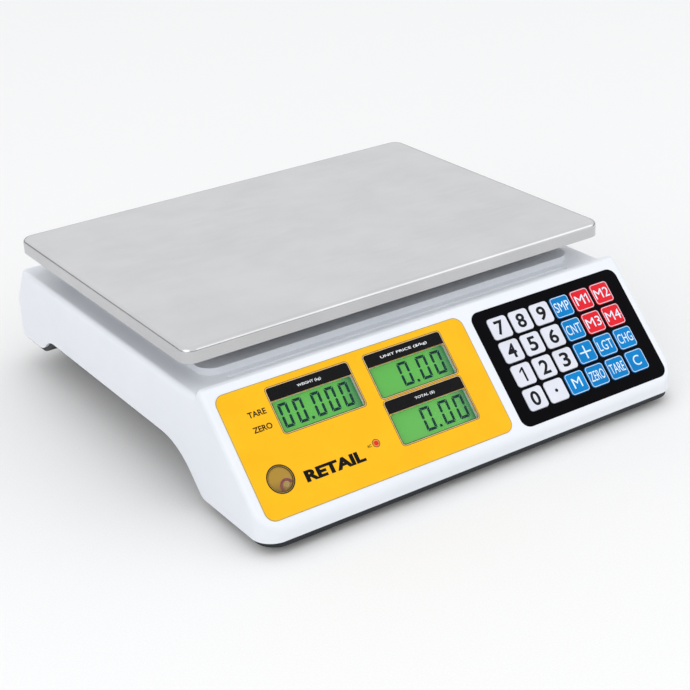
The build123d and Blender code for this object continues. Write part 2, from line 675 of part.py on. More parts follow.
def make_platform():
    """Four-armed support that carries the pan, its pads and its bolts."""
    hub_x = SPIDER_HUB[0] / 2
    hub_y = SPIDER_HUB[1] / 2
    tips = corners_of(*SPIDER_REACH)
    roots = corners_of(hub_x - 18, hub_y - 14)
    with BuildPart() as spider:
        with BuildSketch(Plane.XY.offset(SPIDER_Z)):
            with Locations((0, PAN_Y)):
                RectangleRounded(*SPIDER_HUB, 12)
            for tip, root in zip(tips, roots):
                with BuildLine(mode=Mode.PRIVATE) as spine:
                    Line(root, tip)
                trace(spine.line, line_width=SPIDER_ARM_W)
            with Locations(*tips):
                Circle(SPIDER_TIP_R)
        extrude(amount=SPIDER_T)
        with BuildSketch(Plane.XY.offset(SPIDER_Z)):
            for tip, root in zip(tips, roots):
                with BuildLine(mode=Mode.PRIVATE) as spine:
                    Line(root, tip)
                trace(spine.line, line_width=SPIDER_ARM_W - 2 * SPIDER_RIB_T)
            with Locations((0, PAN_Y)):
                RectangleRounded(*SPIDER_HUB, 12, mode=Mode.SUBTRACT)
            with Locations(*tips):
                Circle(SPIDER_TIP_R, mode=Mode.SUBTRACT)
        extrude(amount=SPIDER_T - SPIDER_RIB_T, mode=Mode.SUBTRACT)
        with BuildSketch(Plane.XY.offset(CELL_Z + CELL_H)):
            with Locations((CELL_END_X, PAN_Y)):
                RectangleRounded(*SPIDER_FOOT, 3)
        extrude(amount=SPIDER_Z - CELL_Z - CELL_H + 1)
        for shift in (-CELL_BOLT_PITCH / 2, CELL_BOLT_PITCH / 2):
            low = CELL_Z + CELL_H
            column(CELL_END_X + shift, PAN_Y, CELL_BOLT_R + 0.3, low, SPIDER_Z + SPIDER_T, Mode.SUBTRACT)
        for x, y in tips:
            column(x, y, PAD_STEM_R, SPIDER_Z, SPIDER_Z + SPIDER_T, Mode.SUBTRACT)
    save(spider, "platform_spider")
    with BuildPart() as pads:
        for x, y in tips:
            column(x, y, PAD_STEM_R, SPIDER_Z + 1, SPIDER_Z + SPIDER_T + 1)
            column(x, y, PAD_R, SPIDER_Z + SPIDER_T, PAN_TOP - PAN_T)
        fillet(pads.edges().group_by(Axis.Z)[-1], 1.2)
        for x, y in tips:
            column(x, y, STUD_R + STUD_GAP, PAN_TOP - PAN_T - STUD_L - 1, PAN_TOP, Mode.SUBTRACT)
    save(pads, "pan_pads")
    with BuildPart() as bolts:
        for shift in (-CELL_BOLT_PITCH / 2, CELL_BOLT_PITCH / 2):
            x = CELL_END_X + shift
            head = SPIDER_Z + SPIDER_T
            column(x, PAN_Y, CELL_BOLT_R, CELL_Z + CELL_H - 12, head)
            column(x, PAN_Y, CELL_HEAD_R, head, head + CELL_HEAD_H)
            with BuildSketch(Plane.XY.offset(head + CELL_HEAD_H)):
                with Locations((x, PAN_Y)):
                    RegularPolygon(2.8, 6)
            extrude(amount=-3, mode=Mode.SUBTRACT)
    save(bolts, "platform_bolts")


def make_load_cell():
    """Single-point load cell, its spacer and its two base bolts."""
    middle = CELL_Z + CELL_H / 2
    with BuildPart() as cell:
        with Locations((0, PAN_Y, middle)):
            Box(CELL_L, CELL_W, CELL_H)
        with BuildSketch(Plane.XZ.offset(-PAN_Y - CELL_W / 2)):
            with Locations((-CELL_EYE_X, middle), (CELL_EYE_X, middle)):
                Circle(CELL_EYE_R)
            with Locations((0, middle)):
                Rectangle(2 * CELL_EYE_X, CELL_SLOT_H)
        extrude(amount=CELL_W, mode=Mode.SUBTRACT)
        for shift in (-CELL_BOLT_PITCH / 2, CELL_BOLT_PITCH / 2):
            column(CELL_END_X + shift, PAN_Y, CELL_BOLT_R, middle - 2, CELL_Z + CELL_H, Mode.SUBTRACT)
            column(-CELL_END_X + shift, PAN_Y, CELL_BOLT_R, CELL_Z, middle + 2, Mode.SUBTRACT)
    save(cell, "load_cell")
    with BuildPart() as spacer:
        box_between(
            (-CELL_END_X - SPACER_L / 2, PAN_Y - CELL_W / 2, ARCH_Z + TRAY_T),
            (-CELL_END_X + SPACER_L / 2, PAN_Y + CELL_W / 2, CELL_Z),
        )
        for shift in (-CELL_BOLT_PITCH / 2, CELL_BOLT_PITCH / 2):
            column(-CELL_END_X + shift, PAN_Y, CELL_BOLT_R + 0.3, ARCH_Z, CELL_Z, Mode.SUBTRACT)
    save(spacer, "cell_spacer")
    with BuildPart() as bolts:
        for shift in (-CELL_BOLT_PITCH / 2, CELL_BOLT_PITCH / 2):
            x = -CELL_END_X + shift
            column(x, PAN_Y, CELL_BOLT_R, ARCH_Z, CELL_Z + 10)
            column(x, PAN_Y, CELL_HEAD_R, ARCH_Z - CELL_HEAD_H, ARCH_Z)
            with BuildSketch(Plane.XY.offset(ARCH_Z - CELL_HEAD_H)):
                with Locations((x, PAN_Y)):
                    RegularPolygon(2.8, 6)
            extrude(amount=3, mode=Mode.SUBTRACT)
    save(bolts, "cell_bolts")


def make_feet():
    """Levelling feet: a rubber sole and a threaded stem with a thumb wheel."""
    for name, (x, y) in FEET.items():
        with BuildPart() as sole:
            with Locations((x, y, 0)):
                Cone(SOLE_R, SOLE_R - 2, SOLE_H, align=(Align.CENTER, Align.CENTER, Align.MIN))
            fillet(sole.edges().group_by(Axis.Z)[-1], 1.0)
            column(x, y, STEM_R + STEM_GAP, STEM_BOTTOM, SOLE_H + 1, Mode.SUBTRACT)
        save(sole, f"foot_sole_{name}")
        with BuildPart() as stem:
            column(x, y, STEM_R, STEM_BOTTOM + 0.1, STEM_TOP)
            chamfer(stem.edges().group_by(Axis.Z)[-1], 0.8)
            column(x, y, WHEEL_R, *WHEEL_Z)
            with Locations((x, y, sum(WHEEL_Z) / 2)):
                with PolarLocations(WHEEL_R, WHEEL_TEETH):
                    Cylinder(0.8, WHEEL_Z[1] - WHEEL_Z[0], mode=Mode.SUBTRACT)
        save(stem, f"foot_stem_{name}")


def make_battery():
    """Sealed battery with its terminals, and the sliding bay cover."""
    top = BATTERY_Z + BATTERY[2]
    with BuildPart() as battery:
        with Locations((0, BATTERY_Y, BATTERY_Z + BATTERY[2] / 2)):
            Box(*BATTERY)
        fillet(battery.edges().filter_by(Axis.Z), 2.0)
        with Locations((-38, BATTERY_Y - 22, top + 2.5), (38, BATTERY_Y - 22, top + 2.5)):
            Box(4.8, 0.8, 5)
        with Locations((0, BATTERY_Y + 8, top)):
            Box(80, 40, 1.6)
    save(battery, "battery")
    cover_x = BATTERY[0] / 2 + BAY_GAP + COVER_GRIP
    cover_y = (BATTERY_Y - BATTERY[1] / 2 - BAY_GAP + COVER_GAP, BATTERY_Y + BATTERY[1] / 2 + BAY_GAP + BAY_WALL)
    with BuildPart() as cover:
        box_between((-cover_x, cover_y[0], COVER_Z), (cover_x, cover_y[1], COVER_Z + COVER_T))
        with GridLocations(0, 3.2, 1, 6):
            with Locations((0, cover_y[1] - 16, COVER_Z - 0.4)):
                Box(34, 1.4, 0.8)
    save(cover, "battery_cover")


def make_switch():
    """Mains rocker switch in the tray: its case and its rocker."""
    x, y = SWITCH_XY
    with BuildPart() as case:
        with Locations((x, y, ARCH_Z + 1.5 - 1)):
            Box(*SWITCH_FLANGE, 2)
        with Locations((x, y, ARCH_Z + 1.5 + SWITCH_DEEP / 2)):
            Box(SWITCH_HOLE[0] - 0.2, SWITCH_HOLE[1] - 0.2, SWITCH_DEEP)
        with Locations((x, y, ARCH_Z + 3)):
            Box(*ROCKER_WELL, 10, mode=Mode.SUBTRACT)
        with Locations((x, y, ROCKER_PIVOT_Z)):
            Cylinder(
                TRUNNION_R + TRUNNION_GAP,
                ROCKER[0] + 2 * TRUNNION_OUT + 0.4,
                rotation=(0, 90, 0),
                mode=Mode.SUBTRACT,
            )
        with Locations((x, y - 4, ARCH_Z + 19), (x, y + 4, ARCH_Z + 19)):
            Box(4.8, 0.8, 6)
    save(case, "switch_case")
    with BuildPart() as rocker:
        with BuildSketch(Plane.YZ.offset(x - ROCKER[0] / 2)):
            with BuildLine():
                Polyline(
                    (y - ROCKER[1] / 2, ARCH_Z - 0.75),
                    (y, ARCH_Z - 0.5),
                    (y + ROCKER[1] / 2, ARCH_Z - 2.45),
                    (y + ROCKER[1] / 2 - 1, ARCH_Z + 4.0),
                    (y, ARCH_Z + 6.0),
                    (y - ROCKER[1] / 2 + 1, ARCH_Z + 4.0),
                    close=True,
                )
            make_face()
        extrude(amount=ROCKER[0])
        with Locations((x, y, ROCKER_PIVOT_Z)):
            Cylinder(TRUNNION_R, ROCKER[0] + 2 * TRUNNION_OUT, rotation=(0, 90, 0))
    save(rocker, "power_rocker")


def make_mains_inlet():
    """Figure-of-eight mains inlet in the right wall."""
    y, z = INLET_YZ
    with BuildPart() as inlet:
        with BuildSketch(Plane.YZ.offset(WIDTH / 2 - 1.2)):
            with Locations(INLET_YZ):
                RectangleRounded(INLET_FACE[0] - 0.3, INLET_FACE[1] - 0.3, 2)
        extrude(amount=1.2)
        with BuildSketch(Plane.YZ.offset(WIDTH / 2 - INLET_DEEP)):
            with Locations(INLET_YZ):
                RectangleRounded(INLET_BODY[0] - 0.3, INLET_BODY[1] - 0.3, 1.5)
        extrude(amount=INLET_DEEP - 1)
        with BuildSketch(Plane.YZ.offset(WIDTH / 2 - 12)):
            with Locations((y - 4.3, z), (y + 4.3, z)):
                Circle(3.9)
            with Locations(INLET_YZ):
                Rectangle(8.6, 5.0)
        extrude(amount=14, mode=Mode.SUBTRACT)
        with BuildSketch(Plane.YZ.offset(WIDTH / 2 - 13)):
            with Locations((y - 4.3, z), (y + 4.3, z)):
                Circle(1.2)
        extrude(amount=10)
        for side in (-1, 1):
            with Locations((WIDTH / 2 - INLET_DEEP - 3, y + side * 5, z)):
                Box(7, 0.8, 4)
    save(inlet, "mains_inlet")


def make_boards_inside():
    """Main circuit board with its parts, and the mains transformer."""
    x, y = MAIN_BOARD_XY
    top = MAIN_BOARD_Z + DISPLAY_BOARD_T
    with BuildPart() as board:
        with Locations((x, y, MAIN_BOARD_Z + DISPLAY_BOARD_T / 2)):
            Box(*MAIN_BOARD, DISPLAY_BOARD_T)
        with Locations((x, y, MAIN_BOARD_Z)):
            with GridLocations(MAIN_BOARD[0] - 10, MAIN_BOARD[1] - 10, 2, 2):
                Cylinder(1.5, 10, mode=Mode.SUBTRACT)
        box_between((x - 8, y - 22, top), (x + 8, y - 6, top + 2))
        box_between((x - 22, y + 8, top), (x - 12, y + 22, top + 1.8))
        box_between((x + 16, y - 18, top), (x + 22, y + 12, top + 8))
        for shift in (0, 13):
            column(x - 2 + shift, y + 24, 5, top, top + 16)
        for shift in (0, 12):
            box_between((x - 26, y - 34 + shift, top), (x - 18, y - 26 + shift, top + 6))
        column(x + 4, y + 6, 3.2, top, top + 3)
    save(board, "main_board")
    x, y = TRANSFORMER_XY
    low = ARCH_Z + TRAY_T
    with BuildPart() as transformer:
        box_between((x - 24, y - 9, low), (x + 24, y + 9, low + 37))
        box_between((x - 15, y - 17, low + 6), (x + 15, y + 17, low + 31))
        box_between((x - 32, y - 9, low), (x + 32, y + 9, low + 1.5))
        with Locations((x - 28, y, low), (x + 28, y, low)):
            Cylinder(2, 6, mode=Mode.SUBTRACT)
    save(transformer, "transformer")


def make_case_screws():
    """Six self-tapping screws that close the case from below."""
    with BuildPart() as screws:
        for x, y, low in CASE_SCREWS:
            column(x, y, CASE_HEAD_R, low + CASE_SINK - 2.4, low + CASE_SINK)
            column(x, y, CASE_SCREW_R, low + CASE_SINK, low + CASE_BOSS_H + 12)
            with Locations((x, y, low + CASE_SINK - 2.4)):
                Box(1.0, 4.4, 2.4, mode=Mode.SUBTRACT)
                Box(4.4, 1.0, 2.4, mode=Mode.SUBTRACT)
    save(screws, "case_screws")


make_upper_housing()
make_base_tray()
make_display_overlay()
make_keypad_overlay()
make_display_windows()
make_lcd_modules()
make_display_board()
make_keypad_board()
make_key_domes()
make_keys()
make_level_vial()
make_power_light()
make_customer_side()
make_pan()
make_platform()
make_load_cell()
make_feet()
make_battery()
make_switch()
make_mains_inlet()
make_boards_inside()
make_case_screws()
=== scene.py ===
import json
import math

import bmesh
import bpy
from mathutils import Matrix, Vector


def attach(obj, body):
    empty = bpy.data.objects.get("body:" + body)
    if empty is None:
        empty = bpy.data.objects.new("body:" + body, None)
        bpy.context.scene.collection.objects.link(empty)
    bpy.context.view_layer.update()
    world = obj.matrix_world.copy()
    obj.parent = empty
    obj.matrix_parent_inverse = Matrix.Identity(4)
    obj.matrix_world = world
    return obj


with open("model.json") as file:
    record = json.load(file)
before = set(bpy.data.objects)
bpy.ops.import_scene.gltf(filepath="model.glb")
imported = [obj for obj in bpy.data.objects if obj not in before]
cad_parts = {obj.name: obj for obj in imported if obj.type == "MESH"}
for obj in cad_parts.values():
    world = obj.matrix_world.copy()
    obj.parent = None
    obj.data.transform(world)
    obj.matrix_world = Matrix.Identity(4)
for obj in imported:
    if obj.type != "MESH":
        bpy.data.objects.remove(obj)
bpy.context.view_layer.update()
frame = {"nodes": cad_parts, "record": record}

MM = 0.001
KEY_ROWS = (
    ("7", "8", "9", "sample", "m1", "m2"),
    ("4", "5", "6", "count", "m3", "m4"),
    ("1", "2", "3", "plus", "light", "change"),
    ("0", "point", "memory", "zero_set", "tare", "clear"),
)
LEGENDS = {
    "sample": "SMP", "count": "CNT", "plus": "+", "light": "LGT", "change": "CHG",
    "point": ".", "memory": "M", "zero_set": "ZERO", "tare": "TARE", "clear": "C",
}


# ---------------------------------------------------------------- materials

class Shader:
    """A Principled material, and the few nodes that give its surface detail."""

    def __init__(self, name, metallic=0.0, specular=0.5, **sockets):
        self.material = bpy.data.materials.new(name)
        self.material.use_nodes = True
        self.tree = self.material.node_tree
        self.bsdf = self.tree.nodes["Principled BSDF"]
        self.bsdf.inputs["Metallic"].default_value = metallic
        self.bsdf.inputs["Specular IOR Level"].default_value = specular
        for socket, value in sockets.items():
            self.bsdf.inputs[socket.replace("_", " ")].default_value = value
        self.coords = self.tree.nodes.new("ShaderNodeTexCoord")
        self.bumps = None

    def node(self, kind, **inputs):
        made = self.tree.nodes.new(kind)
        for socket, value in inputs.items():
            made.inputs[socket.replace("_", " ")].default_value = value
        return made

    def link(self, out, into):
        self.tree.links.new(out, into)

    def place(self, stretch=(1, 1, 1)):
        """Coordinates in metres, stretched so that a texture runs along an axis."""
        mapping = self.node("ShaderNodeMapping", Scale=stretch)
        self.link(self.coords.outputs["Object"], mapping.inputs["Vector"])
        return mapping.outputs["Vector"]

    def noise(self, scale, detail=3.0, stretch=(1, 1, 1), rough=0.5):
        made = self.node("ShaderNodeTexNoise", Scale=scale, Detail=detail, Roughness=rough)
        self.link(self.place(stretch), made.inputs["Vector"])
        return made.outputs["Fac"]

    def ramp(self, fac, stops):
        made = self.tree.nodes.new("ShaderNodeValToRGB")
        ramp = made.color_ramp
        while len(ramp.elements) < len(stops):
            ramp.elements.new(0.5)
        for element, (at, colour) in zip(ramp.elements, stops):
            element.position = at
            element.color = (*colour, 1.0)
        self.link(fac, made.inputs["Fac"])
        return made.outputs["Color"]

    def colour(self, fac, dark, light, low=0.35, high=0.65):
        self.link(self.ramp(fac, [(low, dark), (high, light)]), self.bsdf.inputs["Base Color"])

    def rough(self, fac, smooth, dull):
        span = self.node("ShaderNodeMapRange")
        for at, value in zip((1, 2, 3, 4), (0.3, 0.7, smooth, dull)):
            span.inputs[at].default_value = value
        self.link(fac, span.inputs[0])
        self.link(span.outputs[0], self.bsdf.inputs["Roughness"])

    def bump(self, height, strength, distance):
        made = self.node("ShaderNodeBump", Strength=strength, Distance=distance)
        self.link(height, made.inputs["Height"])
        if self.bumps:
            self.link(self.bumps, made.inputs["Normal"])
        self.bumps = made.outputs["Normal"]
        self.link(self.bumps, self.bsdf.inputs["Normal"])


def moulded(name, dark, light, smooth, dull, grain=1600, depth=0.00004, **sockets):
    """Injection moulded plastic: spark texture, cloudy tone, faint scuffs."""
    s = Shader(name, **sockets)
    cloud = s.noise(14, 4)
    scuff = s.noise(120, 6, stretch=(1, 0.12, 1), rough=0.7)
    s.colour(cloud, dark, light)
    s.rough(scuff, smooth, dull)
    s.bump(s.noise(grain, 2), 0.35, depth)
    s.bump(s.noise(60, 2), 0.05, 0.0002)
    return s.material


def printed(name, dark, light, smooth=0.26, dull=0.36, **sockets):
    """Back-printed polyester film: fine hair grain under a soft gloss."""
    s = Shader(name, **sockets)
    s.colour(s.noise(45, 4), dark, light)
    s.rough(s.noise(260, 5, stretch=(0.3, 1, 1), rough=0.7), smooth, dull)
    s.bump(s.noise(2600, 2), 0.22, 0.00003)
    return s.material


def ink(name, dark, light, smooth=0.4, dull=0.5, **sockets):
    """Screen-printed ink: tiny pinholes and a slightly uneven coat."""
    s = Shader(name, **sockets)
    s.colour(s.noise(900, 3), dark, light)
    s.rough(s.noise(300, 3), smooth, dull)
    s.bump(s.noise(3000, 2), 0.2, 0.00002)
    return s.material


def metal(name, dark, light, smooth, dull, along, fine=900, depth=0.00002, **sockets):
    """Brushed, rolled or machined metal: streaks run along one axis."""
    s = Shader(name, metallic=1.0, **sockets)
    streak = s.noise(fine, 4, stretch=along, rough=0.65)
    s.colour(s.noise(22, 4), dark, light)
    s.rough(streak, smooth, dull)
    s.bump(streak, 0.18, depth)
    s.bump(s.noise(9, 2), 0.04, 0.0006)
    return s.material


def board(name):
    """Solder mask over copper tracks, with bright plated holes."""
    s = Shader(name, Coat_Weight=0.3, Coat_Roughness=0.2)
    tracks = s.node("ShaderNodeTexVoronoi", Scale=210.0)
    tracks.distance = "MANHATTAN"
    s.link(s.place(), tracks.inputs["Vector"])
    s.link(
        s.ramp(tracks.outputs["Distance"], [
            (0.0, (0.55, 0.45, 0.2)), (0.13, (0.5, 0.4, 0.18)), (0.17, (0.01, 0.09, 0.035)),
            (0.5, (0.012, 0.11, 0.045)), (0.56, (0.02, 0.2, 0.08))]),
        s.bsdf.inputs["Base Color"],
    )
    s.rough(s.noise(400, 3), 0.3, 0.45)
    s.bump(tracks.outputs["Distance"], 0.2, 0.00008)
    return s.material


def laminations(name):
    """Stacked, varnished transformer sheets with a paper-wrapped winding tone."""
    s = Shader(name, Coat_Weight=0.25, Coat_Roughness=0.3)
    sheets = s.node("ShaderNodeTexWave", Scale=300.0, Distortion=0.4, Detail=2.0)
    s.link(s.place(), sheets.inputs["Vector"])
    s.colour(sheets.outputs["Fac"], (0.07, 0.06, 0.05), (0.26, 0.23, 0.19), 0.2, 0.8)
    s.rough(s.noise(200, 3), 0.45, 0.65)
    s.bump(sheets.outputs["Fac"], 0.4, 0.00015)
    return s.material


def backlit_with_painted_shade(name, main, edge, shade_from, flip=False):
    """Green display glass glowing with its backlight, with painted shade in its colour: a darker
    strip at one side and a fall to deep green towards the other, where the recessed edges lie in
    shade.
    """
    s = Shader(name, Coat_Weight=0.4, Coat_Roughness=0.12)
    split = s.tree.nodes.new("ShaderNodeSeparateXYZ")
    s.link(s.coords.outputs["Generated"], split.inputs[0])
    # painted shade: the low end of X is darkened to 0.82 and the high end falls to the edge
    # colour, standing in for the recess's shade on the glass
    stops = [(0.0, tuple(v * 0.82 for v in main)), (0.1, main), (shade_from, main), (1.0, edge)]
    if flip:
        stops = [(1 - at, colour) for at, colour in reversed(stops)]
    tone = s.ramp(split.outputs["X"], stops)
    s.link(tone, s.bsdf.inputs["Base Color"])
    s.link(tone, s.bsdf.inputs["Emission Color"])
    s.bsdf.inputs["Emission Strength"].default_value = 0.35
    s.rough(s.noise(240, 3), 0.28, 0.4)
    s.bump(s.noise(2400, 1), 0.08, 0.00001)
    return s.material


def graded(name, high, low, **sockets):
    """Tinted liquid behind glass, its colour darker towards the bottom of the piece, with faint
    clouds.
    """
    s = Shader(name, **sockets)
    split = s.tree.nodes.new("ShaderNodeSeparateXYZ")
    s.link(s.coords.outputs["Generated"], split.inputs[0])
    s.link(s.ramp(split.outputs["Z"], [(0.1, low), (0.55, high)]), s.bsdf.inputs["Base Color"])
    s.rough(s.noise(300, 3), 0.10, 0.2)
    s.bump(s.noise(500, 2), 0.05, 0.00004)
    return s.material


def see_through(name, tint, alpha, smooth, dull, **sockets):
    s = Shader(name, Alpha=alpha, **sockets)
    s.colour(s.noise(60, 2), tuple(v * 0.92 for v in tint), tint)
    s.rough(s.noise(180, 4, stretch=(0.2, 1, 1), rough=0.7), smooth, dull)
    s.bump(s.noise(30, 1), 0.03, 0.0003)
    return s.material


# the second green is painted shade: the deep tone where the display glass lies in the shade of its
# recessed edge
GREEN, GREEN_RECESS_SHADE = (0.072, 0.39, 0.038), (0.010, 0.14, 0.055)
FINISH = {
    "white_abs": moulded("white_abs", (0.735, 0.765, 0.815), (0.775, 0.80, 0.845), 0.30, 0.42),
    "black_abs": moulded(
        "black_abs", (0.013, 0.015, 0.018), (0.021, 0.024, 0.028),
        0.48, 0.62, depth=0.00008, specular=0.3),
    "yellow_film": printed(
        "yellow_film", (0.86, 0.445, 0.006), (0.90, 0.475, 0.008),
        0.36, 0.48, specular=0.12),
    "black_film": printed(
        "black_film", (0.0010, 0.0010, 0.0020), (0.0018, 0.0018, 0.0032),
        0.36, 0.5, specular=0.03),
    "clear_acrylic": see_through(
        "clear_acrylic", (0.05, 0.07, 0.06), 0.07, 0.04, 0.10, specular=0.25),
    "lcd_green": printed("lcd_green", (0.09, 0.40, 0.045), (0.12, 0.47, 0.06)),
    "green_pcb": board("green_pcb"),
    "dome_steel": metal(
        "dome_steel", (0.60, 0.60, 0.60), (0.72, 0.72, 0.71),
        0.20, 0.34, (1, 1, 1)),
    "olive_acrylic": printed(
        "olive_acrylic", (0.20, 0.13, 0.028), (0.36, 0.26, 0.06),
        0.15, 0.3, Coat_Weight=0.6, Coat_Roughness=0.08),
    "red_acrylic": ink(
        "red_acrylic", (0.60, 0.008, 0.005), (0.76, 0.016, 0.010),
        0.2, 0.3, specular=0.25),
    "stainless": metal(
        "stainless", (0.54, 0.54, 0.546), (0.575, 0.575, 0.582),
        0.14, 0.24, (0.03, 1, 1), Anisotropic=0.3),
    "cast_aluminium": metal(
        "cast_aluminium", (0.40, 0.40, 0.42), (0.52, 0.52, 0.54),
        0.42, 0.58, (1, 1, 1), fine=700, depth=0.00025),
    "black_rubber": moulded(
        "black_rubber", (0.014, 0.014, 0.014), (0.028, 0.028, 0.028),
        0.72, 0.88, grain=700, depth=0.0001),
    "zinc_steel": metal(
        "zinc_steel", (0.50, 0.50, 0.49), (0.66, 0.65, 0.62),
        0.24, 0.40, (1, 1, 0.1)),
    "bare_aluminium": metal(
        "bare_aluminium", (0.60, 0.61, 0.63), (0.70, 0.71, 0.73),
        0.28, 0.42, (0.04, 1, 1)),
    "battery_case": moulded(
        "battery_case", (0.035, 0.036, 0.044), (0.060, 0.061, 0.070),
        0.45, 0.6),
    "black_nylon": moulded(
        "black_nylon", (0.014, 0.014, 0.015), (0.026, 0.026, 0.028),
        0.38, 0.52),
    "red_nylon": moulded("red_nylon", (0.45, 0.012, 0.012), (0.60, 0.022, 0.020), 0.28, 0.40),
    "laminated_iron": laminations("laminated_iron"),
    "key_light": printed("key_light", (0.63, 0.65, 0.73), (0.69, 0.71, 0.79)),
    "key_red": printed(
        "key_red", (0.66, 0.012, 0.022), (0.75, 0.018, 0.032),
        0.34, 0.46, specular=0.08),
    "key_blue": printed(
        "key_blue", (0.0, 0.185, 0.50), (0.0, 0.215, 0.57),
        0.34, 0.46, specular=0.08),
}
INK = {
    "black": ink("ink_black", (0.0025, 0.0025, 0.003), (0.006, 0.006, 0.007), specular=0.08),
    "white": ink("ink_white", (0.74, 0.78, 0.82), (0.84, 0.87, 0.90)),
    "tan": ink("ink_tan", (0.56, 0.40, 0.20), (0.68, 0.50, 0.28)),
    "olive": ink("ink_olive", (0.20, 0.22, 0.10), (0.28, 0.30, 0.15)),
    "segment": ink("lcd_segment", (0.0015, 0.026, 0.032), (0.003, 0.042, 0.046), specular=0.1),
    "orange": ink("ink_orange", (0.62, 0.16, 0.02), (0.75, 0.24, 0.04)),
}

for row in frame["record"]["subparts"]:
    holder = frame["nodes"][row["node"]]
    if not holder.material_slots:
        holder.data.materials.append(None)
    for slot in holder.material_slots:
        slot.link = "OBJECT"
        slot.material = FINISH[row["material_slot"]]


# ------------------------------------------------------- faces of the model

class Face:
    """A flat outer face: axes right, up and out, and places on it in millimetres."""

    def __init__(self, node, out):
        self.out = out.normalized()
        self.right = Vector((0, 0, 1)).cross(self.out).normalized()
        self.up = self.out.cross(self.right)
        self.level = self.extent(node)[5]

    @classmethod
    def of_sheet(cls, node):
        """The face of a thin sheet, from its largest polygon."""
        big = max(frame["nodes"][node].data.polygons, key=lambda p: p.area)
        out = Vector(big.normal)
        return cls(node, out if out.z > 0 else -out)

    def local(self, point):
        return (point.dot(self.right) / MM, point.dot(self.up) / MM, point.dot(self.out) / MM)

    def extent(self, node):
        """(right low, high, up low, high, out low, high) of a node, in mm."""
        points = [self.local(v.co) for v in frame["nodes"][node].data.vertices]
        return [f(p[i] for p in points) for i in range(3) for f in (min, max)]

    def middle(self, node):
        e = self.extent(node)
        return (e[0] + e[1]) / 2, (e[2] + e[3]) / 2

    def world(self, r, u, n):
        return (self.right * r + self.up * u + self.out * (self.level + n)) * MM

    def matrix(self, r, u, n):
        turn = Matrix((self.right, self.up, self.out)).transposed().to_4x4()
        return Matrix.Translation(self.world(r, u, n)) @ turn


def rounded(r0, r1, u0, u1, radius, steps=6):
    """Corner-rounded rectangle; radius is one number or four, from top right, anticlockwise."""
    radii = radius if isinstance(radius, tuple) else (radius,) * 4
    corners = ((r1, u1, -1, -1), (r0, u1, 1, -1), (r0, u0, 1, 1), (r1, u0, -1, 1))
    points = []
    for k, ((r, u, sr, su), rad) in enumerate(zip(corners, radii)):
        for i in range(steps + 1):
            a = math.radians(90 * k + 90 * i / steps)
            points.append((r + sr * rad + rad * math.cos(a), u + su * rad + rad * math.sin(a)))
    return points


def ring_points(r, u, radius, count=48):
    turn = [2 * math.pi * i / count for i in range(count)]
    return [(r + radius * math.cos(a), u + radius * math.sin(a)) for a in turn]


def new_piece(name, mesh_data, material, body):
    piece = bpy.data.objects.new(name, mesh_data)
    bpy.context.collection.objects.link(piece)
    piece.data.materials.append(material)
    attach(piece, body)
    return piece


def layer(name, face, shapes, n0, n1, material, body):
    """Closed flat pieces on a face. Each shape is an outline, or an outline and a hole."""
    bm = bmesh.new()
    for shape in shapes:
        loops = shape if isinstance(shape, list) and isinstance(shape[0], list) else [shape]
        top = [[bm.verts.new(face.world(r, u, n1)) for r, u in loop] for loop in loops]
        low = [[bm.verts.new(face.world(r, u, n0)) for r, u in loop] for loop in loops]
        for t, l, outer in zip(top, low, (True, False)):
            for i in range(len(t)):
                j = (i + 1) % len(t)
                quad = (t[i], l[i], l[j], t[j])
                bm.faces.new(quad if outer else quad[::-1])
        if len(loops) == 1:
            bm.faces.new(top[0])
            bm.faces.new(low[0][::-1])
        else:
            for i in range(len(loops[0])):
                j = (i + 1) % len(loops[0])
                bm.faces.new((top[0][i], top[0][j], top[1][j], top[1][i]))
                bm.faces.new((low[0][j], low[0][i], low[1][i], low[1][j]))
    bmesh.ops.recalc_face_normals(bm, faces=bm.faces)
    mesh = bpy.data.meshes.new(name)
    bm.to_mesh(mesh)
    bm.free()
    piece = new_piece(name, mesh, material, body)
    return piece


def words(name, face, text, r, u, height, width, material, body, n=0.03, bold=0.0):
    """One printed word, centred at (r, u), cap height and overall width in mm."""
    curve = bpy.data.curves.new(name, "FONT")
    curve.body, curve.size, curve.offset = text, 1.0, bold
    curve.align_x, curve.align_y = "LEFT", "BOTTOM_BASELINE"
    curve.resolution_u = 4
    curve.extrude = 0.01
    maker = bpy.data.objects.new(name + "_curve", curve)
    bpy.context.collection.objects.link(maker)
    bpy.context.view_layer.update()
    shaped = maker.evaluated_get(bpy.context.evaluated_depsgraph_get())
    mesh = bpy.data.meshes.new_from_object(shaped)
    bpy.data.objects.remove(maker)
    xs = [v.co.x for v in mesh.vertices]
    ys = [v.co.y for v in mesh.vertices]
    x0, x1, y0, y1 = min(xs), max(xs), min(ys), max(ys)
    sy = height / (y1 - y0)
    sx = width / (x1 - x0) if width else sy
    place = face.matrix(r, u, n)
    for v in mesh.vertices:
        flat = Vector(((v.co.x - (x0 + x1) / 2) * sx, (v.co.y - (y0 + y1) / 2) * sy, v.co.z))
        v.co = place @ (flat * MM)
    bm = bmesh.new()
    bm.from_mesh(mesh)
    bmesh.ops.remove_doubles(bm, verts=bm.verts, dist=1e-7)
    bmesh.ops.dissolve_degenerate(bm, edges=bm.edges, dist=1e-7)
    bm.to_mesh(mesh)
    bm.free()
    return new_piece(name, mesh, material, body)


# ------------------------------------------------------------ operator panel

panel = Face.of_sheet("display_overlay")
LABEL = panel.extent("display_overlay")


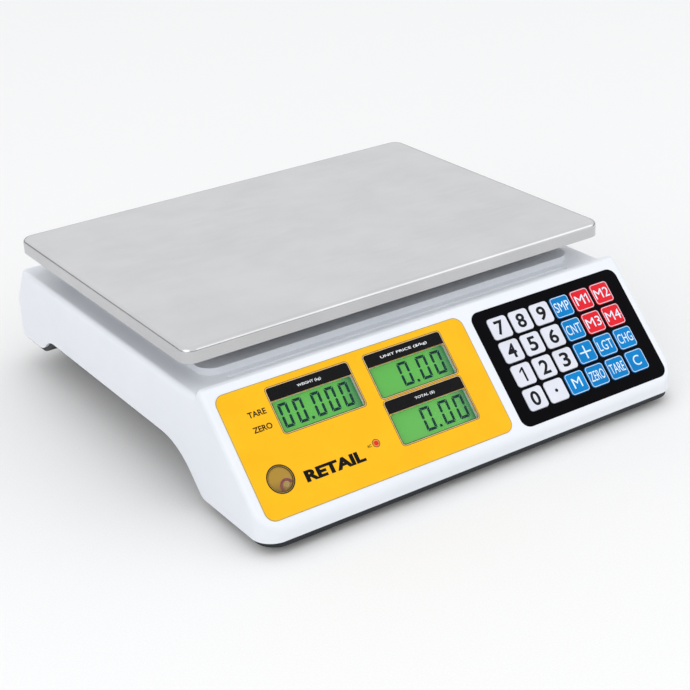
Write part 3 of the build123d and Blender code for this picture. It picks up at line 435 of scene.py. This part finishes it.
def islands(node, face, gap=0.5):
    """Boxes (right low, high, up low, high) of a node's separate panes.

    They come left to right, from the top row down.
    """
    boxes = []
    mesh = frame["nodes"][node].data
    for polygon in mesh.polygons:
        corners = [face.local(mesh.vertices[i].co) for i in polygon.vertices]
        boxes.append([f(c[i] for c in corners) for i in (0, 1) for f in (min, max)])
    grouped = []
    for box in boxes:
        hits = [g for g in grouped if box[0] <= g[1] + gap and box[1] >= g[0] - gap
                and box[2] <= g[3] + gap and box[3] >= g[2] - gap]
        for g in hits:
            grouped.remove(g)
            box = [min(box[0], g[0]), max(box[1], g[1]), min(box[2], g[2]), max(box[3], g[3])]
        grouped.append(box)
    return sorted(grouped, key=lambda g: (-round(g[3] / 10), g[0]))


def frame_lines(r0, r1, u0, u1, radius, width):
    """An outline with its hole: a thin printed border."""
    inner = max(radius - width, 0.3)
    hole = rounded(r0 + width, r1 - width, u0 + width, u1 - width, inner)
    return [rounded(r0, r1, u0, u1, radius), hole]


def segment_shapes(digit, r, u, wide, high, thick, lean):
    """The lit bars of one seven-segment digit, lower left corner at (r, u)."""
    t, h, mid = thick, thick / 2, high / 2
    bars = {
        "a": [(0.35, high), (wide - 0.35, high), (wide - t * 0.9, high - t), (t * 0.9, high - t)],
        "d": [(0.35, 0), (t * 0.9, t), (wide - t * 0.9, t), (wide - 0.35, 0)],
        "g": [(h + 0.3, mid), (t, mid + h), (wide - t, mid + h),
              (wide - h - 0.3, mid), (wide - t, mid - h), (t, mid - h)],
        "f": [(0, high - 0.5), (t, high - t - 0.25), (t, mid + h + 0.1),
              (h, mid + 0.2), (0, mid + h)],
        "e": [(0, 0.5), (0, mid - h), (h, mid - 0.2), (t, mid - h - 0.1), (t, t + 0.25)],
        "b": [(wide, high - 0.5), (wide, mid + h), (wide - h, mid + 0.2),
              (wide - t, mid + h + 0.1), (wide - t, high - t - 0.25)],
        "c": [(wide, 0.5), (wide - t, t + 0.25), (wide - t, mid - h - 0.1),
              (wide - h, mid - 0.2), (wide, mid - h)],
    }
    lit = {"0": "abcdef", "1": "bc", "8": "abcdefg"}[digit]
    return [[(r + x + y * lean, u + y) for x, y in bars[b]] for b in lit]


def readout(name, face, text, right, low, wide, high, pitch, thick, n, body, lean=0.03):
    """Right-aligned digits of a display, as thin dark bars on its glass."""
    shapes, at = [], right - wide
    for mark in reversed(text):
        if mark == ".":
            dot = at + pitch - (pitch - wide) / 2 - 0.55 * thick
            at -= thick * 1.6
            dot -= thick * 0.9
            shapes.append([(dot, low), (dot + thick, low),
                           (dot + thick, low + thick), (dot, low + thick)])
        else:
            shapes += segment_shapes(mark, at, low, wide, high, thick, lean)
            at -= pitch
    return layer(name, face, shapes, n - 0.01, n + 0.02, INK["segment"], body)


windows = islands("display_windows", panel)
LEDGE = 1.4
GLASS = panel.extent("lcd_modules")[5] - panel.level
HEADER = 8.6
DISPLAYS = (
    ("weight", "WEIGHT (kg)", 17.5, "00.000", 7.0, 10.5, 4.6),
    ("unit_price", "UNIT PRICE ($/kg)", 37.0, "0.00", 8.0, 11.7, 4.6),
    ("total", "TOTAL ($)", 15.5, "0.00", 8.0, 11.7, 3.6),
)
for (name, title, title_w, text, wide, pitch, margin), pane in zip(DISPLAYS, windows):
    r0, r1, u0, u1 = pane[0] + LEDGE, pane[1] - LEDGE, pane[2] + LEDGE, pane[3] - LEDGE
    # the backlight glass carries painted shade towards its recessed edges
    backlight = layer(
        name + "_backlight", panel, [rounded(r0 - 1.6, r1 + 1.6, u0 - 1.4, u1 + 1.4, 0.8)],
        GLASS + 0.01, GLASS + 0.06, backlit_with_painted_shade(name + "_glow", GREEN, GREEN_RECESS_SHADE, 0.80), "case")
    readout(name + "_digits", panel, text, r1 - margin, u0 + 3.0, wide, 16.4, pitch, 1.9,
            GLASS + 0.08, "case")
    top = u1 + HEADER
    head = rounded(r0 - 0.2, r1 + 0.2, u1 + 0.1, top, (1.8, 1.8, 0.3, 0.3))
    layer(name + "_header", panel, [head], 0.0, 0.03, INK["black"], "case")
    words(name + "_title", panel, title, (r0 + r1) / 2, top - HEADER / 2, 2.2, title_w,
          INK["white"], "case", n=0.05, bold=0.012)
    layer(name + "_outline", panel,
          [frame_lines(r0 - 1.3, r1 + 1.3, u0 - 1.2, top + 1.1, 2.6, 0.3)],
          0.0, 0.03, INK["black"], "case")
    layer(name + "_border", panel,
          [frame_lines(r0 - 0.95, r1 + 0.95, u0 - 0.85, top + 0.75, 2.3, 0.5)],
          0.0, 0.03, INK["tan"], "case")
    layer(name + "_frame", panel,
          [frame_lines(r0 - 0.42, r1 + 0.42, u0 - 0.32, top + 0.22, 1.9, 0.4)],
          0.0, 0.03, INK["black"], "case")

left, top = LABEL[0], LABEL[3]
layer("label_edge", panel,
      [frame_lines(LABEL[0] + 0.05, LABEL[1] - 0.05, LABEL[2] + 0.05, LABEL[3] - 0.05, 6.9, 0.35)],
      0.0, 0.03, INK["olive"], "case")
words("label_tare", panel, "TARE", left + 23.3, top - 18.2, 3.9, 12.9, INK["black"], "case",
      bold=0.022)
words("label_zero", panel, "ZERO", left + 22.8, top - 28.2, 3.9, 13.5, INK["black"], "case",
      bold=0.022)
words("label_word", panel, "RETAIL", left + 57.2, top - 66.0, 7.6, 44.0, INK["black"], "case",
      bold=0.052)
light_tip = panel.extent("power_light")
lamp = ((light_tip[0] + light_tip[1]) / 2, (light_tip[2] + light_tip[3]) / 2)
layer("power_light_ring", panel, [[ring_points(*lamp, 2.75), ring_points(*lamp, 2.4)]],
      0.0, 0.03, INK["black"], "case")
layer("power_light_halo", panel, [[ring_points(*lamp, 2.4), ring_points(*lamp, 1.65)]],
      0.0, 0.03, INK["orange"], "case")
words("power_light_text", panel, "AC", lamp[0] - 5.4, lamp[1] - 0.4, 1.9, 3.2, INK["black"],
      "case", bold=0.02)


# ------------------------------------------------------------------- keypad

PALE = ink("key_border", (0.56, 0.66, 0.76), (0.66, 0.75, 0.84))
DARK_LEGEND = ink("legend_dark", (0.004, 0.005, 0.008), (0.010, 0.011, 0.016), specular=0.1)
PALE_LEGEND = ink("legend_pale", (0.62, 0.76, 0.88), (0.72, 0.84, 0.93))
LEGEND_SIZE = {"digit": (10.4, 7.2), "M": (7.4, 7.4), "C": (7.4, 6.2), "word": (7.2, 12.6)}


def plus_shape(r, u, reach, half):
    """A plus sign as one outline, arms of the given reach and half width."""
    a, b = reach, half
    corners = [(a, b), (b, b), (b, a), (-b, a), (-b, b), (-a, b),
               (-a, -b), (-b, -b), (-b, -a), (b, -a), (b, -b), (a, -b)]
    return [[(r + x, u + y) for x, y in corners]]


def one_shape(r, u, high, stem):
    """A figure one with its flag, as one outline."""
    h, w = high / 2, stem / 2
    flag = high * 0.24
    corners = [(w, -h), (w, h), (w - stem * 0.75, h), (-w - flag, h - flag * 0.95),
               (-w - flag, h - flag * 0.95 - stem * 0.9), (-w, h - flag * 0.75), (-w, -h)]
    return [[(r + x + flag / 3, u + y) for x, y in corners]]


for row_names in KEY_ROWS:
    for key in row_names:
        node, body = "key_" + key, "cap_" + key
        e = panel.extent(node)
        r, u = panel.middle(node)
        n = e[5] - panel.level
        legend = LEGENDS.get(key, key.upper())
        slot = next(s["material_slot"] for s in frame["record"]["subparts"] if s["node"] == node)
        half_w, half_h = (e[1] - e[0]) / 2 - 0.7, (e[3] - e[2]) / 2 - 0.7
        if slot != "key_light":
            edge = frame_lines(r - half_w + 0.35, r + half_w - 0.35, u - half_h + 0.35,
                               u + half_h - 0.35, 2.1, 0.42)
            layer(node + "_border", panel, [edge], n - 0.01, n + 0.025, PALE, body)
        ink_mat = DARK_LEGEND if slot == "key_light" else PALE_LEGEND
        drawn = {".": [ring_points(r, u, 1.25, 28)], "+": plus_shape(r, u, 4.9, 0.55),
                 "1": one_shape(r, u, 10.4, 1.55)}.get(legend)
        if drawn:
            layer(node + "_legend", panel, drawn, n - 0.01, n + 0.03, ink_mat, body)
            continue
        kind = "digit" if legend.isdigit() else (legend if legend in LEGEND_SIZE else "word")
        high, wide = LEGEND_SIZE[kind]
        if legend == "M1":
            words(node + "_legend", panel, "M", r - 1.9, u, high, 7.4, ink_mat, body,
                  n=n + 0.015)
            layer(node + "_number", panel, one_shape(r + 4.4, u, high, 0.95), n - 0.01, n + 0.03,
                  ink_mat, body)
            continue
        words(node + "_legend", panel, legend, r, u, high, wide, ink_mat, body,
              n=n + 0.015, bold=0.024 if kind == "digit" else 0.0)


# ------------------------------------------------------------- spirit level

def lathe(name, face, r, u, profile, material, body, count=56):
    """A turned piece standing square on a face: profile of (radius, height) in mm."""
    bm = bmesh.new()
    rings = []
    for radius, height in profile:
        if radius <= 0:
            rings.append([bm.verts.new(face.world(r, u, height))])
        else:
            rings.append([bm.verts.new(face.world(x, y, height)) for x,
                          y in ring_points(r, u, radius, count)])
    for low, high in zip(rings, rings[1:]):
        for i in range(count):
            j = (i + 1) % count
            if len(low) == 1:
                bm.faces.new((low[0], high[j], high[i]))
            elif len(high) == 1:
                bm.faces.new((low[i], low[j], high[0]))
            else:
                bm.faces.new((low[i], low[j], high[j], high[i]))
    bmesh.ops.recalc_face_normals(bm, faces=bm.faces)
    mesh = bpy.data.meshes.new(name)
    bm.to_mesh(mesh)
    bm.free()
    mesh.polygons.foreach_set("use_smooth", [True] * len(mesh.polygons))
    return new_piece(name, mesh, material, body)


RIM = 9.3
rim_points = [panel.local(v.co) for v in frame["nodes"]["level_vial"].data.vertices]
rim_top = [p for p in rim_points if p[2] > panel.level - 0.5]
rim_r = (min(p[0] for p in rim_top) + max(p[0] for p in rim_top)) / 2
rim_u = (min(p[1] for p in rim_top) + max(p[1] for p in rim_top)) / 2
layer("level_rim", panel,
      [[ring_points(rim_r, rim_u, RIM + 0.1), ring_points(rim_r, rim_u, RIM - 0.55)]],
      0.0, 0.12, INK["black"], "case")
gold = graded("level_gold", (0.37, 0.215, 0.022), (0.20, 0.115, 0.018), specular=0.3)
plum = ink("level_plum", (0.13, 0.030, 0.036), (0.24, 0.070, 0.070), 0.25, 0.35, specular=0.3)
DOME = [(0, -1.5), (8.2, -1.5), (8.35, -0.9), (7.6, -0.45), (6.0, -0.12), (3.6, 0.08),
        (1.6, 0.14), (0, 0.15)]
lathe("level_glass", panel, rim_r, rim_u, DOME, gold, "case")


def arc_strip(r, u, outer, inner, limit, centre, count=72):
    """The part of a ring that lies inside a circle, as one outline."""
    turn = [2 * math.pi * i / count for i in range(count * 2)]
    inside = [math.hypot(r + outer * math.cos(a) - centre[0],
                         u + outer * math.sin(a) - centre[1]) < limit
              for a in turn]
    start = next(i for i in range(1, count + 1) if inside[i] and not inside[i - 1])
    stop = next(i for i in range(start, len(turn)) if not inside[i])
    arc = turn[start:stop]
    rim = [(r + outer * math.cos(a), u + outer * math.sin(a)) for a in arc]
    return rim + [(r + inner * math.cos(a), u + inner * math.sin(a)) for a in reversed(arc)]


ring = arc_strip(rim_r + 2.4, rim_u - 5.2, 4.8, 3.2, 7.9, (rim_r, rim_u))
layer("level_circle", panel, [ring], -0.6, 0.17, plum, "case")
bubble = see_through("level_bubble_air", (0.62, 0.48, 0.20), 0.35, 0.03, 0.08)
lathe("level_bubble", panel, rim_r + 2.4, rim_u - 4.4,
      [(0, -0.4), (1.9, -0.4), (2.1, 0.0), (1.7, 0.3), (0.9, 0.45), (0, 0.48)], bubble, "case")


# ------------------------------------------------------------ customer side

rear = Face.of_sheet("customer_overlay")
REAR_EDGE = rear.extent("customer_overlay")
glass_n = rear.extent("customer_lcd")[5] - rear.level
mid_r, mid_u = (REAR_EDGE[0] + REAR_EDGE[1]) / 2, (REAR_EDGE[2] + REAR_EDGE[3]) / 2
SEEN_W, SEEN_H, SEEN_PITCH = 54.0, 14.0, 70.0
for k, (name, title, title_w, text) in enumerate((
        ("weight", "WEIGHT (kg)", 16.0, "00.000"),
        ("unit_price", "UNIT PRICE ($/kg)", 26.0, "0.00"),
        ("total", "TOTAL ($)", 13.0, "0.00"))):
    r = mid_r + (k - 1) * SEEN_PITCH
    half_w, half_h = SEEN_W / 2, SEEN_H / 2
    # the customer glass carries the same painted shade, mirrored
    layer("customer_" + name + "_backlight", rear,
          [rounded(r - half_w + 0.35, r + half_w - 0.35, mid_u - half_h + 0.35,
                   mid_u + half_h - 0.35, 1.3)],
          glass_n + 0.01, glass_n + 0.05, backlit_with_painted_shade("customer_" + name + "_glow", GREEN,
                                                  GREEN_RECESS_SHADE, 0.80, flip=True),
          "case")
    readout("customer_" + name + "_digits", rear, text, r + half_w - 3.6, mid_u - half_h + 1.9,
            5.6, 10.4, 8.2, 1.15,
            glass_n + 0.07, "case")
    layer("customer_" + name + "_frame", rear,
          [frame_lines(r - half_w - 0.6, r + half_w + 0.6, mid_u - half_h - 0.6,
                       mid_u + half_h + 0.6, 1.9, 0.6)],
          0.0, 0.03, INK["black"], "case")
    words("customer_" + name + "_title", rear, title, r, mid_u + half_h + 2.6, 2.0, title_w,
          INK["black"],
          "case", bold=0.012)


# ------------------------------------------------- lights, floor and camera

floor_mat = ink("studio_floor", (0.80, 0.80, 0.80), (0.83, 0.83, 0.83), 0.75, 0.85)
bpy.ops.mesh.primitive_plane_add(size=40, location=(0, 0, -0.0004))
studio_floor = bpy.context.object
studio_floor.name = "studio_floor"
studio_floor.data.materials.append(floor_mat)


def soft_light(name, at, aim, size, power, tint=(1, 1, 1)):
    lamp = bpy.data.lights.new(name, "AREA")
    lamp.shape, lamp.size, lamp.energy, lamp.color = "DISK", size, power, tint
    holder = bpy.data.objects.new(name, lamp)
    holder.location = at
    holder.rotation_euler = (Vector(aim) - Vector(at)).to_track_quat("-Z", "Y").to_euler()
    bpy.context.collection.objects.link(holder)


soft_light("key_light_soft", (-2.1, -1.2, 1.15), (0, 0, 0.05), 2.4, 15)
soft_light("fill_light_soft", (1.7, -1.8, 1.0), (0, 0, 0.05), 2.2, 8)

world = bpy.data.worlds.new("studio")
bpy.context.scene.world = world
world.use_nodes = True
sky = world.node_tree
aim = sky.nodes.new("ShaderNodeTexCoord")
height = sky.nodes.new("ShaderNodeSeparateXYZ")
shade = sky.nodes.new("ShaderNodeValToRGB")
shade.color_ramp.elements.new(0.5)
HEIGHT_AND_LIGHT = ((0.04, 0.22), (0.17, 0.40), (0.31, 1.0))
for element, (at, level) in zip(shade.color_ramp.elements, HEIGHT_AND_LIGHT):
    element.position = at
    element.color = (level * 0.985, level * 0.992, level, 1)
sky.links.new(aim.outputs["Generated"], height.inputs[0])
sky.links.new(height.outputs["Z"], shade.inputs["Fac"])
# the camera sees a plain pale backdrop; reflections and light see the graded sky
seen = sky.nodes.new("ShaderNodeLightPath")
backdrop = sky.nodes.new("ShaderNodeMix")
backdrop.data_type = "RGBA"
backdrop_a, backdrop_b = [i for i in backdrop.inputs if i.type == "RGBA"]
backdrop_b.default_value = (0.88, 0.88, 0.88, 1)
sky.links.new(seen.outputs["Is Camera Ray"], backdrop.inputs["Factor"])
sky.links.new(shade.outputs["Color"], backdrop_a)
backdrop_out = next(o for o in backdrop.outputs if o.type == "RGBA")
sky.links.new(backdrop_out, sky.nodes["Background"].inputs["Color"])
sky.nodes["Background"].inputs["Strength"].default_value = 1.12

CAMERA_PLACE = (-0.5592, -0.8838, 0.5194)
LOOK_DOWN, LOOK_RIGHT, TILT = (math.radians(a) for a in (25.25, 32.83, -2.83))
camera_data = bpy.data.cameras.new("camera")
camera_data.lens = 82.33
camera_data.sensor_width = 36.0
camera_data.clip_start = 0.01
camera = bpy.data.objects.new("camera", camera_data)
camera.location = CAMERA_PLACE
camera.rotation_mode = "QUATERNION"
camera.rotation_quaternion = (
    Matrix.Rotation(-LOOK_RIGHT, 3, "Z")
    @ Matrix.Rotation(math.pi / 2 - LOOK_DOWN, 3, "X")
    @ Matrix.Rotation(TILT, 3, "Z")
).to_quaternion()
bpy.context.collection.objects.link(camera)
bpy.context.scene.camera = camera
bpy.context.scene.view_settings.view_transform = "Standard"

bpy.context.view_layer.update()
